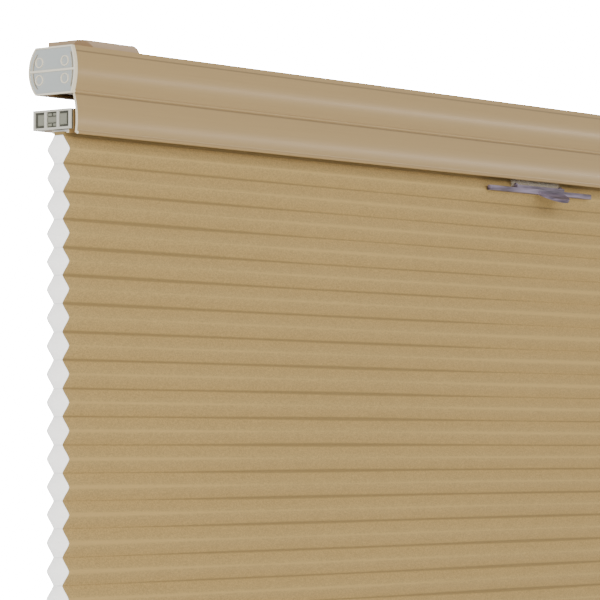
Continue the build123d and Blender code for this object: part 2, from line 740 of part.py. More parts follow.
# ---- honeycomb fabric ---------------------------------------------------------------------------
inner_reach = crease_reach - fabric_wall * hypot(crease_reach, cell_pitch / 2) / (cell_pitch / 2)
with BuildPart() as fabric:
    with BuildSketch(section(-fabric_length / 2)):
        glue = glue_width / 2
        strip_z = first_glue_z + fabric_neck
        rail_z = last_glue_z - fabric_neck
        front = [(fabric_y - glue, strip_z), (fabric_y - glue, first_glue_z)]
        for cell in range(cell_count):
            crease_z = first_glue_z - (cell + 0.5) * cell_pitch
            front.append((fabric_y - glue - crease_reach, crease_z))
            front.append((fabric_y - glue, crease_z - cell_pitch / 2))
        front.append((fabric_y - glue, rail_z))
        back = [(2 * fabric_y - y, z) for y, z in reversed(front)]
        with BuildLine() as outline:
            Polyline(*front, *back, close=True)
        make_face(outline.edges())
        for cell in range(cell_count):
            crease_z = first_glue_z - (cell + 0.5) * cell_pitch
            half = cell_pitch / 2 - fabric_wall
            with BuildLine() as hollow:
                Polyline(
                    (fabric_y - glue, crease_z + half),
                    (fabric_y - glue - inner_reach, crease_z),
                    (fabric_y - glue, crease_z - half),
                    (fabric_y + glue, crease_z - half),
                    (fabric_y + glue + inner_reach, crease_z),
                    (fabric_y + glue, crease_z + half),
                    close=True,
                )
            make_face(hollow.edges(), mode=Mode.SUBTRACT)
    extrude(amount=fabric_length)
    cut_cord_holes(strip_z, strip_z - rail_z, lower_cord_y, cord_hole_radius)
save(fabric.part, "fabric")

# longest developed length of the fabric, glued and folded flat, and the cords' own lengths
facet = hypot(crease_reach, cell_pitch / 2)
print("facet", round(facet, 2), "developed height", round(cell_count * 4 * facet, 1))
print("fabric height", round(strip_z - rail_z, 1), "overall height", round(-bottom_rail_bottom_z, 1))
for drive, (shaft_y, middle_x, cord_y, cord_end_z) in drives.items():
    print(drive, "cord from spool to anchor", round(shaft_z - cord_end_z, 1))
print("turns per metre of travel", round(1000 / (2 * pi * cord_reach), 3))
print("radians per metre of travel", round(1000 / cord_reach, 4))
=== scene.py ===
import json
import math
import random

import bmesh
import bpy
from mathutils import Matrix, Vector


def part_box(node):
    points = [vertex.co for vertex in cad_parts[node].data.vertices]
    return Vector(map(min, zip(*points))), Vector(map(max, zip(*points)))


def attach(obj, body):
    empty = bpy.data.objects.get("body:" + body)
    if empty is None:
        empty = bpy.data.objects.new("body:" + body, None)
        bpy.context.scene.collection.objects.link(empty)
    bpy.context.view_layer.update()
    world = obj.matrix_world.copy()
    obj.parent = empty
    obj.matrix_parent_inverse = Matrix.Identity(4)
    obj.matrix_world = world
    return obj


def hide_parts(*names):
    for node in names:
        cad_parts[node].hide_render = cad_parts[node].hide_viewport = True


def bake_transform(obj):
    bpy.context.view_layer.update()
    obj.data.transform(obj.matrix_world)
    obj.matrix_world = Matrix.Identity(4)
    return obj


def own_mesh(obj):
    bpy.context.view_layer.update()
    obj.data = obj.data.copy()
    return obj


bl_info = {
    "name": "Honeycomb Shade",
    "version": (1, 0, 0),
    "blender": (4, 5, 0),
    "location": "View3D > Sidebar > Shade",
    "description": "Visual pieces of a top-down bottom-up honeycomb shade, built round its CAD frame",
    "category": "Object",
}

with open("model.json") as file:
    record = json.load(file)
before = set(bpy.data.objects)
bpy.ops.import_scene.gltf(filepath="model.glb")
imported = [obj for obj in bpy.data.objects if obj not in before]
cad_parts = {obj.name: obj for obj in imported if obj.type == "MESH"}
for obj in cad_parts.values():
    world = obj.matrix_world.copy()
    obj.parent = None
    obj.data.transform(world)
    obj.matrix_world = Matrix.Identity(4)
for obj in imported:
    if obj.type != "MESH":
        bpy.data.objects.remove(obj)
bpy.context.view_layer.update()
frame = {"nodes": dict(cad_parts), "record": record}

MM = 0.001
PER_MM = 1000
FRONT = -1
BACK = 1
NODE_BODY = {n: body for body, ns in frame["record"]["behaviour"]["bodies"].items() for n in ns}
NODE_SLOT = {part["node"]: part["material_slot"] for part in frame["record"]["subparts"]}
SIDES = {"left": -1, "right": 1}
TRAVEL = {joint["name"]: max(joint["range_m"]) / MM
          for joint in frame["record"]["behaviour"]["joints"] if "range_m" in joint}


def spans(node):
    """A CAD node's lowest and highest corners, in millimetres."""
    low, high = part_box(node)
    return [v / MM for v in low], [v / MM for v in high]


def linear(red, green, blue):
    """A display colour of 0 to 255 as a linear one of 0 to 1."""
    def channel(value):
        share = value / 255
        return share / 12.92 if share <= 0.04045 else ((share + 0.055) / 1.055) ** 2.4
    return tuple(channel(v) for v in (red, green, blue))


# ---- sizes of the headrail's section, in millimetres ---------------------------------------------
RAIL_TOP = spans("headrail")[1][2]
BARREL_HEIGHT = 32.8
BARREL_WALL = 1.7
BARREL_REACH = {FRONT: 21.8, BACK: 22.0}
BARREL_BULGE = {FRONT: 3.1, BACK: 6.7}
BARREL_MID = RAIL_TOP - BARREL_HEIGHT / 2
BARREL_BOTTOM = RAIL_TOP - BARREL_HEIGHT
MOUTH_HALF = 10.0
SLOT_MOUTH_HALF = 8.0
SLOT_HALF = 13.0
SLOT_TOP = RAIL_TOP - BARREL_WALL
SLOT_FLOOR = SLOT_TOP - 2.7
CAVITY_TOP = SLOT_FLOOR - 1.5
CAVITY_BOTTOM = BARREL_BOTTOM + BARREL_WALL
SKIRT_TOP_Y = -18.7
SKIRT_MID_Y = -21.8
SKIRT_LIP_Y = -21.2
SKIRT_BOTTOM = -64.6
SKIRT_WALL = 2.0
NOTCH = -36.5
BEAD = 1.1

# ---- sizes of the end caps and the handles, in millimetres ---------------------------------------
CAP_FACE_X = spans("end_cap_right")[1][0]
RAISED_X = CAP_FACE_X - 0.4  # halfway down to the cap's panels
GROOVE_X = CAP_FACE_X - 1.2  # halfway from the panels down to the grooves
BLADE_BACK_Y = -17.4  # between the handle's blade and its plate

# ---- sizes of the honeycomb, in millimetres ------------------------------------------------------
GLUE = 8.4
NECK = 2.4
CELLS = 58
UPPER_CELLS = 21
CELL_WALL = 0.35
SEAM_GAP = -0.04  # below zero, so that neighbouring cells are pressed together
CREASE_Y = spans("fabric")[0][1]
VALLEY_Y = (CREASE_Y + spans("fabric")[1][1]) / 2 - GLUE / 2


# ---- what a user may change ----------------------------------------------------------------------
def colour_property(name, description, rgb):
    """A colour that a user may change, given as display values."""
    return bpy.props.FloatVectorProperty(name=name, description=description, default=linear(*rgb),
                                         subtype="COLOR", size=3, min=0.0, max=1.0)


def length_property(name, description, millimetres):
    """A length that a user may change."""
    return bpy.props.FloatProperty(name=name, description=description, default=millimetres * MM,
                                   unit="LENGTH", subtype="DISTANCE", min=0.0, precision=5)


class ShadeColours(bpy.types.PropertyGroup):
    """Colours of the shade's finishes."""

    rail: colour_property("Rails", "Paint of the headrail and the two moving rails", (181, 150, 98))
    bracket: colour_property("Brackets", "Paint of the ceiling brackets", (188, 160, 126))
    cloth: colour_property("Cloth", "Front of the honeycomb fabric", (188, 157, 93))
    lining: colour_property("Lining", "Inside and back of the honeycomb fabric", (248, 247, 245))
    cap: colour_property("End caps", "Faces of the headrail's end caps", (196, 202, 200))
    cap_edge: colour_property("End cap edges", "Edges of the headrail's end caps", (250, 236, 205))
    cream: colour_property("Rail ends", "Windowed end frames of the moving rails", (222, 219, 204))
    handle: colour_property("Handles", "Tint of the clear pull handles", (122, 110, 126))


class ShadeSizes(bpy.types.PropertyGroup):
    """Sizes of the soft and rounded details."""

    edge: length_property("Edge rounding", "Rounding of moulded and pressed edges", 0.25)
    crease: length_property("Crease rounding", "Rounding of the fabric's creases", 0.6)
    ripple: length_property("Ripple", "How far the fabric wanders from flat", 0.45)
    uneven: length_property("Uneven pitch", "How far a glue line sits from its place", 0.3)
    facet_steps: bpy.props.IntProperty(name="Facet steps", description="Faces across one facet of a cell",
                                       default=5, min=2, max=12)
    length_steps: bpy.props.IntProperty(name="Length steps", description="Faces along the fabric",
                                        default=40, min=4, max=80)
    seed: bpy.props.IntProperty(name="Seed", description="Seed of the fabric's unevenness", default=7)


# ---- shader maths --------------------------------------------------------------------------------
class Value:
    """An output of a finish's node tree. Python's operators on it add Math nodes."""

    def __init__(self, finish, socket):
        self.finish = finish
        self.socket = socket

    def maths(self, operation, first, second):
        """A Math node on two values."""
        return self.finish.node("ShaderNodeMath", {"operation": operation}, {0: first, 1: second})

    def __add__(self, other):
        return self.maths("ADD", self, other)

    __radd__ = __add__

    def __sub__(self, other):
        return self.maths("SUBTRACT", self, other)

    def __rsub__(self, other):
        return self.maths("SUBTRACT", other, self)

    def __mul__(self, other):
        return self.maths("MULTIPLY", self, other)

    __rmul__ = __mul__


class Finish:
    """A material built on one Principled shader."""

    def __init__(self, name, colour, **constants):
        self.material = bpy.data.materials.new(name)
        self.material.use_nodes = True
        self.tree = self.material.node_tree
        self.shader = self.tree.nodes["Principled BSDF"]
        self.shader.inputs["Base Color"].default_value = (*colour, 1)
        for socket, value in constants.items():
            self.shader.inputs[socket.replace("_", " ")].default_value = value

    def feed(self, socket, value):
        """Links a value to the socket, or sets a plain number or colour on it."""
        if isinstance(value, Value):
            self.tree.links.new(value.socket, socket)
        else:
            socket.default_value = value

    def node(self, kind, settings=None, sockets=None, output=0):
        """Adds a node: its settings first, then the values or links of its sockets."""
        made = self.tree.nodes.new(kind)
        for setting, value in (settings or {}).items():
            if setting == "stops":
                for stop, (position, shade) in zip(made.color_ramp.elements, value):
                    stop.position = position
                    stop.color = (shade, shade, shade, 1)
            else:
                setattr(made, setting, value)
        for key, value in (sockets or {}).items():
            self.feed(made.inputs[key], value)
        return Value(self, made.outputs[output])

    def along(self, axis, kind="Object"):
        """One coordinate, 0 to 2 for x to z, of the point or of its normal."""
        point = self.node("ShaderNodeTexCoord", output=kind)
        return self.node("ShaderNodeSeparateXYZ", None, {0: point}, axis)

    def magnitude(self, value):
        """The value without its sign."""
        return self.node("ShaderNodeMath", {"operation": "ABSOLUTE"}, {0: value})

    def place(self, stretch=(1, 1, 1)):
        """The point on the piece, stretched."""
        point = self.node("ShaderNodeTexCoord", output="Object")
        return self.node("ShaderNodeMapping", None, {"Vector": point, "Scale": stretch})

    def noise(self, scale, detail=2.0, stretch=(1, 1, 1)):
        """Noise on the piece's own coordinates."""
        return self.node("ShaderNodeTexNoise", None,
                         {"Vector": self.place(stretch), "Scale": scale, "Detail": detail})

    def ramp(self, value, low, high):
        """The value as a mask that rises from 0 at low to 1 at high."""
        return self.node("ShaderNodeValToRGB", {"stops": ((low, 0), (high, 1))}, {"Fac": value})

    def blend(self, mask, first, second):
        """The first colour where the mask is 0 and the second where it is 1."""
        return self.node("ShaderNodeMix", {"data_type": "RGBA"},
                         {0: mask, 6: (*first, 1) if isinstance(first, tuple) else first,
                          7: (*second, 1) if isinstance(second, tuple) else second}, 2)

    def bump(self, height, distance, strength=1.0):
        """Raises the surface by the height, at most by the distance."""
        normal = self.node("ShaderNodeBump", None,
                           {"Height": height, "Distance": distance, "Strength": strength})
        self.feed(self.shader.inputs["Normal"], normal)

    def paint(self, socket, value):
        """Feeds one of the shader's sockets by its name."""
        self.feed(self.shader.inputs[socket], value)


def shaded(colour, factor):
    """The colour made lighter or darker by a factor."""
    return tuple(min(1.0, channel * factor) for channel in colour)


# ---- finishes ------------------------------------------------------------------------------------
BEAD_GROOVE_SHADE = 0.62  # painted shade in the grooves under the beads
VALLEY_SHADE = 0.66  # painted shade in the cloth's valleys at the glue lines
CREASE_HIGHLIGHT = 1.16  # painted highlight along the cloth's creases
# painted shade in the end caps' grooves
CAP_GROOVE_SHADE = 0.5
# painted highlight on the end caps' raised rim and ribs
RIM_HIGHLIGHT = linear(254, 245, 222)
PLATE_COLOUR = linear(226, 216, 196)
PLATE_CLEARNESS = 0.72


def end_mask(finish):
    """1 on faces that look along the rail, such as cut ends, and 0 on the rest."""
    return finish.ramp(finish.magnitude(finish.along(0, "Normal")), 0.35, 0.75)


def satin_paint(name, colour, cut_colour=None):
    """Satin paint over drawn aluminium: faint lines along the rail, a fine orange peel, pale cut ends and
    painted shade in the grooves under the beads.
    """
    finish = Finish(name, colour, Roughness=0.3, Coat_Roughness=0.2, Coat_Weight=0.35)
    lines = finish.noise(900, 3, (0.01, 1, 1))
    grain = finish.noise(2600, 2)
    tone = finish.blend(lines, shaded(colour, 0.95), shaded(colour, 1.05))
    if cut_colour:
        # painted shade: a thin band under each bead is darkened for the shade in the groove below it
        height = finish.along(2) * PER_MM
        for bead_z in (NOTCH, RAIL_TOP - 2 * BEAD):
            below = finish.magnitude(height - (bead_z - BEAD * 1.5))
            tone = finish.blend(finish.ramp(below, 0.3, 0.8), shaded(colour, BEAD_GROOVE_SHADE), tone)
        tone = finish.blend(end_mask(finish), tone, cut_colour)
    finish.paint("Base Color", tone)
    finish.paint("Roughness", 0.25 + lines * 0.08 + grain * 0.04)
    finish.bump(lines * 0.6 + grain * 0.4, 0.00003, 0.5)
    return finish.material


def spun_cloth(name, colour, contrast, glow=0.0):
    """Non-woven polyester, speckled and matt. The front cloth gets painted shade in its valleys and a
    painted highlight on its creases. glow is emission painted on the lining for the light that comes through
    it.
    """
    finish = Finish(name, colour, Roughness=0.9, Sheen_Weight=0.12, Sheen_Roughness=0.6,
                    Emission_Strength=glow)
    # painted glow: the lining gives out its own colour as light
    finish.shader.inputs["Emission Color"].default_value = (*colour, 1)
    fibres = finish.noise(900, 5, (0.45, 1, 1))
    clouds = finish.noise(60, 3)
    speck = finish.ramp(finish.noise(900, 2), 0.42, 0.6)
    shade = fibres * 0.45 + clouds * 0.15 + speck * 0.4
    tone = finish.blend(shade, shaded(colour, 1 - contrast), shaded(colour, 1 + contrast))
    if not glow:
        depth = finish.along(1)
        out_of_valley = finish.ramp((VALLEY_Y * MM - depth) * PER_MM, 0.15, 0.7)
        off_crease = finish.ramp((depth - CREASE_Y * MM) * PER_MM, 0.25, 0.9)
        # painted shade: the cloth is darkened in the valleys at the glue lines
        tone = finish.blend(out_of_valley, shaded(colour, VALLEY_SHADE), tone)
        # painted highlight: the cloth is lightened along the crease tips
        tone = finish.blend(off_crease, shaded(colour, CREASE_HIGHLIGHT), tone)
    finish.paint("Base Color", tone)
    finish.paint("Roughness", 0.84 + fibres * 0.12)
    finish.bump(fibres * 0.7 + speck * 0.3, 0.00016, 0.8)
    return finish.material


def moulded_plastic(name, colour, roughness=0.4, edge_colour=None):
    """Moulded plastic with a fine sparked texture. With an edge colour it is an end cap's, with painted
    shade in its grooves and a painted highlight on its raised rim.
    """
    finish = Finish(name, colour, Roughness=roughness, Specular_IOR_Level=0.45)
    spark = finish.noise(3200, 2)
    flow = finish.noise(45, 2)
    tone = finish.blend(flow, shaded(colour, 0.96), shaded(colour, 1.04))
    if edge_colour:
        reach = finish.magnitude(finish.along(0))
        above_groove = finish.ramp((reach - GROOVE_X * MM) * PER_MM + 0.5, 0.4, 0.6)
        on_rim = finish.ramp((reach - RAISED_X * MM) * PER_MM + 0.5, 0.4, 0.6)
        # painted shade: the cap's grooves are darkened
        tone = finish.blend(above_groove, shaded(colour, CAP_GROOVE_SHADE), tone)
        # painted highlight: the cap's raised rim and ribs are lightened
        tone = finish.blend(on_rim, tone, RIM_HIGHLIGHT)
        tone = finish.blend(end_mask(finish), edge_colour, tone)
    finish.paint("Base Color", tone)
    finish.paint("Roughness", roughness - 0.05 + spark * 0.1)
    finish.bump(spark, 0.00003, 0.4)
    return finish.material


def clear_plastic(name, colour):
    """Violet-grey polycarbonate: a tinted blade, streaked with painted reflections, in front of a thin plate
    that lets the cloth show.
    """
    finish = Finish(name, colour, Roughness=0.35, Transmission_Weight=0.2, IOR=1.49,
                    Specular_IOR_Level=0.12, Coat_Weight=0.04, Coat_Roughness=0.2)
    scuffs = finish.noise(420, 4, (0.2, 1, 1))
    # painted reflections: dark and light streaks of the tint in the blade, for what the clear plastic
    # reflects and refracts
    reflection_streaks = finish.noise(90, 3, (0.3, 1, 3))
    tone = finish.blend(finish.ramp(reflection_streaks, 0.35, 0.65), shaded(colour, 0.45), shaded(colour, 1.9))
    on_plate = finish.ramp((finish.along(1) - BLADE_BACK_Y * MM) * PER_MM, 0.0, 1.0)
    finish.paint("Base Color", finish.blend(on_plate, tone, PLATE_COLOUR))
    finish.paint("Alpha", 1 - on_plate * PLATE_CLEARNESS)
    finish.paint("Roughness", 0.3 + scuffs * 0.15)
    finish.bump(scuffs, 0.00003, 0.4)
    return finish.material


def rolled_steel(name, colour):
    """Bright rolled steel with lines along it."""
    finish = Finish(name, colour, Metallic=1.0, Roughness=0.35)
    lines = finish.noise(1100, 3, (0.02, 1, 1))
    finish.paint("Base Color", finish.blend(lines, shaded(colour, 0.88), colour))
    finish.paint("Roughness", 0.28 + lines * 0.16)
    finish.bump(lines, 0.00002, 0.4)
    return finish.material


def braided_cord(name, colour):
    """Fine braided polyester cord."""
    finish = Finish(name, colour, Roughness=0.75, Sheen_Weight=0.2)
    plait = finish.node("ShaderNodeTexWave", {"wave_type": "BANDS", "bands_direction": "DIAGONAL"},
                        {"Vector": finish.place(), "Scale": 520, "Distortion": 1.2})
    finish.paint("Base Color", finish.blend(plait, shaded(colour, 0.82), colour))
    finish.paint("Roughness", 0.7 + plait * 0.12)
    finish.bump(plait, 0.00012, 0.7)
    return finish.material


def floor_paint(name):
    """Matt pale floor paint."""
    finish = Finish(name, (0.86, 0.86, 0.86), Roughness=0.7)
    soft = finish.noise(3, 2)
    finish.paint("Base Color", finish.blend(soft, (0.85, 0.85, 0.85), (0.88, 0.88, 0.88)))
    return finish.material


MATERIALS = {}


# ---- mesh helpers --------------------------------------------------------------------------------
def new_piece(name, mesh, *materials):
    """An object at the origin that shows the mesh."""
    piece = bpy.data.objects.new(name, mesh)
    bpy.context.scene.collection.objects.link(piece)
    for material in materials:
        mesh.materials.append(material)
    return piece


def smooth(mesh, degrees=32):
    """Smooths the shading except over edges sharper than the angle."""
    mesh.polygons.foreach_set("use_smooth", [True] * len(mesh.polygons))
    mesh.set_sharp_from_angle(angle=math.radians(degrees))


def settle(piece):
    """Turns the evaluated piece into a plain mesh and takes its modifiers off."""
    graph = bpy.context.evaluated_depsgraph_get()
    graph.update()
    mesh = bpy.data.meshes.new_from_object(piece.evaluated_get(graph), depsgraph=graph)
    piece.modifiers.clear()
    piece.data = mesh
    return piece


def stands_for(piece, body, slot, *nodes):
    """The piece rides on the body and stands for the CAD nodes; slot is not used."""
    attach(piece, body)
    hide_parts(*nodes)
    return piece


def softened(node, edge):
    """A copy of a CAD node with its edges rounded, standing for it."""
    mesh = frame["nodes"][node].data.copy()
    mesh.materials.clear()
    shape = bmesh.new()
    shape.from_mesh(mesh)
    bmesh.ops.remove_doubles(shape, verts=shape.verts, dist=2e-6)
    bmesh.ops.dissolve_limit(shape, angle_limit=math.radians(1), verts=shape.verts, edges=shape.edges)
    shape.to_mesh(mesh)
    shape.free()
    piece = new_piece(node + "_soft", mesh, MATERIALS[NODE_SLOT[node]])
    mesh.polygons.foreach_set("material_index", [0] * len(mesh.polygons))
    rounding = piece.modifiers.new("edges", "BEVEL")
    rounding.width = edge
    rounding.segments = 2
    rounding.limit_method = "ANGLE"
    rounding.angle_limit = math.radians(32)
    rounding.face_strength_mode = "FSTR_ALL"
    settle(piece)
    smooth(piece.data)
    even = piece.modifiers.new("even shading", "WEIGHTED_NORMAL")
    even.use_face_influence = True
    even.keep_sharp = True
    settle(piece)
    return stands_for(piece, NODE_BODY[node], NODE_SLOT[node], node)


def arc(start, through, end, steps):
    """Points on the circle through three points, from start to end."""
    (ax, ay), (bx, by), (cx, cy) = start, through, end
    d = 2 * (ax * (by - cy) + bx * (cy - ay) + cx * (ay - by))
    a2, b2, c2 = ax * ax + ay * ay, bx * bx + by * by, cx * cx + cy * cy
    ux = (a2 * (by - cy) + b2 * (cy - ay) + c2 * (ay - by)) / d
    uy = (a2 * (cx - bx) + b2 * (ax - cx) + c2 * (bx - ax)) / d
    first, middle, last = (math.atan2(y - uy, x - ux) for x, y in (start, through, end))
    radius = math.hypot(ax - ux, ay - uy)
    turn = (last - first) % (2 * math.pi)
    if (middle - first) % (2 * math.pi) > turn:
        turn -= 2 * math.pi
    return [(ux + radius * math.cos(first + turn * i / steps),
             uy + radius * math.sin(first + turn * i / steps)) for i in range(steps + 1)]


def beaded(before, centre, radius, after, steps=8):
    """Joins two runs of points round the outside of a bead between them."""
    def outside(point):
        return math.dist(point, centre) > radius * 1.02
    before = [p for p in before if outside(p)]
    after = [p for p in after if outside(p)]
    first = math.atan2(before[-1][1] - centre[1], before[-1][0] - centre[0])
    last = math.atan2(after[0][1] - centre[1], after[0][0] - centre[0])
    turn = -((first - last) % (2 * math.pi))
    round_bead = [(centre[0] + radius * math.cos(first + turn * i / steps),
                   centre[1] + radius * math.sin(first + turn * i / steps)) for i in range(steps + 1)]
    return before + round_bead + after


def barrel_y(side, z, inset=0.0):
    """The y of the barrel's front or back at height z, stepped in by inset."""
    bulge = BARREL_BULGE[side]
    radius = ((BARREL_HEIGHT / 2) ** 2 + bulge ** 2) / (2 * bulge)
    return side * (BARREL_REACH[side] - radius + math.sqrt((radius - inset) ** 2 - (z - BARREL_MID) ** 2))


def barrel_run(side, high, low, inset=0.0, steps=24):
    """Points down the barrel's front or back."""
    heights = [high + (low - high) * i / steps for i in range(steps + 1)]
    return [(barrel_y(side, z, inset), z) for z in heights]


def extruded(name, outline, low_x, high_x, material):
    """A prism of a section outline of (y, z) points in millimetres, with closed ends."""
    shape = bmesh.new()
    rings = [[shape.verts.new((x * MM, y * MM, z * MM)) for y, z in outline] for x in (low_x, high_x)]
    count = len(outline)
    for i in range(count):
        shape.faces.new((rings[0][i], rings[0][(i + 1) % count], rings[1][(i + 1) % count], rings[1][i]))
    for ring in rings:
        shape.faces.new(ring)
    bmesh.ops.recalc_face_normals(shape, faces=shape.faces)
    bmesh.ops.triangulate(shape, faces=[f for f in shape.faces if len(f.verts) > 4])
    mesh = bpy.data.meshes.new(name)
    shape.to_mesh(mesh)
    shape.free()
    smooth(mesh)
    return new_piece(name, mesh, material)


# ---- geometry node helpers -----------------------------------------------------------------------
class Recipe:
    """A Geometry Nodes tree with named inputs."""

    def __init__(self, name, inputs):
        self.tree = bpy.data.node_groups.new(name, "GeometryNodeTree")
        self.tree.interface.new_socket("Geometry", in_out="INPUT", socket_type="NodeSocketGeometry")
        self.keys = {}
        for label, kind in inputs.items():
            socket = self.tree.interface.new_socket(label, in_out="INPUT", socket_type=kind)
            self.keys[label] = socket.identifier
        self.tree.interface.new_socket("Geometry", in_out="OUTPUT", socket_type="NodeSocketGeometry")
        self.given = self.tree.nodes.new("NodeGroupInput")
        self.result = self.tree.nodes.new("NodeGroupOutput")

    def node(self, kind, settings=None, sockets=None):
        """Adds a node: its settings first, then the values or links of its sockets."""
        made = self.tree.nodes.new(kind)
        for setting, value in (settings or {}).items():
            setattr(made, setting, value)
        for key, value in (sockets or {}).items():
            if isinstance(value, bpy.types.NodeSocket):
                self.tree.links.new(value, made.inputs[key])
            else:
                made.inputs[key].default_value = value
        return made

    def ends(self, geometry):
        """Gives the tree's result."""
        self.tree.links.new(geometry, self.result.inputs[0])

    def run(self, piece, values):
        """Runs the tree on the piece and leaves the result as its plain mesh."""
        modifier = piece.modifiers.new(self.tree.name, "NODES")
        modifier.node_group = self.tree
        for label, value in values.items():
            modifier[self.keys[label]] = value
        return settle(piece)


def honeycomb_recipe():
    """Stacks copies of one cell downwards, cloth in front and lining behind and inside."""
    recipe = Recipe("honeycomb", {"Cells": "NodeSocketInt", "Pitch": "NodeSocketFloat",
                                  "First cell": "NodeSocketFloat"})
    given = recipe.given.outputs
    down = recipe.node("ShaderNodeMath", {"operation": "MULTIPLY"}, {0: given["Pitch"], 1: -1.0})
    step = recipe.node("ShaderNodeCombineXYZ", None, {"Z": down.outputs[0]})
    start = recipe.node("ShaderNodeCombineXYZ", None, {"Z": given["First cell"]})
    line = recipe.node("GeometryNodeMeshLine", {"mode": "OFFSET"},
                       {"Count": given["Cells"], "Start Location": start.outputs[0],
                        "Offset": step.outputs[0]})
    stack = recipe.node("GeometryNodeInstanceOnPoints", None,
                        {"Points": line.outputs[0], "Instance": given["Geometry"]})
    real = recipe.node("GeometryNodeRealizeInstances", None, {"Geometry": stack.outputs[0]})
    lined = recipe.node("GeometryNodeInputNamedAttribute", {"data_type": "BOOLEAN"}, {"Name": "lining"})
    cloth = recipe.node("GeometryNodeSetMaterial", None,
                        {"Geometry": real.outputs[0], "Material": MATERIALS["honeycomb_fabric"]})
    lining = recipe.node("GeometryNodeSetMaterial", None,
                         {"Geometry": cloth.outputs[0], "Selection": lined.outputs[0],
                          "Material": MATERIALS["lining"]})
    recipe.ends(lining.outputs[0])
    return recipe


def winding_recipe():
    """One layer of cord wound round a spool that lies along X."""
    recipe = Recipe("winding", {"Turns": "NodeSocketFloat", "Reach": "NodeSocketFloat",
                                "Length": "NodeSocketFloat", "Cord radius": "NodeSocketFloat",
                                "Start": "NodeSocketVector"})
    given = recipe.given.outputs
    coil = recipe.node("GeometryNodeCurveSpiral", None,
                       {"Resolution": 20, "Rotations": given["Turns"], "Start Radius": given["Reach"],
                        "End Radius": given["Reach"], "Height": given["Length"]})
    laid = recipe.node("GeometryNodeTransform", None,
                       {"Geometry": coil.outputs[0], "Translation": given["Start"],
                        "Rotation": (0, math.pi / 2, 0)})
    ring = recipe.node("GeometryNodeCurvePrimitiveCircle", None,
                       {"Resolution": 6, "Radius": given["Cord radius"]})
    tube = recipe.node("GeometryNodeCurveToMesh", None,
                       {"Curve": laid.outputs[0], "Profile Curve": ring.outputs[0], "Fill Caps": True})
    real = recipe.node("GeometryNodeRealizeInstances", None, {"Geometry": tube.outputs[0]})
    done = recipe.node("GeometryNodeSetMaterial", None,
                       {"Geometry": real.outputs[0], "Material": MATERIALS["lift_cord"]})
    recipe.ends(done.outputs[0])
    return recipe


# ---- operators -----------------------------------------------------------------------------------
class ShadeOperator(bpy.types.Operator):
    """What the shade's operators share."""

    bl_options = {"REGISTER", "UNDO"}

    @property
    def sizes(self):
        return bpy.context.scene.shade_sizes

    @property
    def colours(self):
        return bpy.context.scene.shade_colours

    def colour(self, name):
        return tuple(getattr(self.colours, name))

    def execute(self, context):
        self.make()
        return {"FINISHED"}


class SHADE_OT_finishes(ShadeOperator):
    """Mix every finish and give it to the CAD pieces"""

    bl_idname = "shade.finishes"
    bl_label = "Finishes"

    def make(self):
        MATERIALS.update({
            "rail_paint": satin_paint("rail_paint", self.colour("rail"), self.colour("cap_edge")),
            "bracket_paint": satin_paint("bracket_paint", self.colour("bracket")),
            "honeycomb_fabric": spun_cloth("honeycomb_cloth", self.colour("cloth"), 0.3),
            "lining": spun_cloth("honeycomb_lining", self.colour("lining"), 0.015, 0.55),
            "clear_cap": moulded_plastic("end_cap_plastic", self.colour("cap"), 0.38,
                                         self.colour("cap_edge")),
            "cream_plastic": moulded_plastic("rail_end_plastic", self.colour("cream"), 0.42),
            # grey_plastic is the window plugs' plastic darkened with painted shade for the recesses round
            # the pads; pad_plastic is the same grey-green plastic lighter, as painted light on the raised
            # pads
            "grey_plastic": moulded_plastic("grey_plastic", linear(84, 84, 74), 0.5),
            "pad_plastic": moulded_plastic("pad_plastic", linear(150, 150, 134), 0.4),
            "white_plastic": moulded_plastic("white_plastic", linear(236, 236, 233), 0.4),
            "clear_handle": clear_plastic("clear_handle", self.colour("handle")),
            "lift_cord": braided_cord("lift_cord", linear(232, 228, 218)),
            "steel": rolled_steel("rolled_steel", (0.62, 0.61, 0.6)),
        })
        for node, slot in NODE_SLOT.items():
            piece = frame["nodes"][node]
            if not piece.material_slots:
                piece.data.materials.append(None)
            for place in piece.material_slots:
                place.link = "OBJECT"
                place.material = MATERIALS[slot]


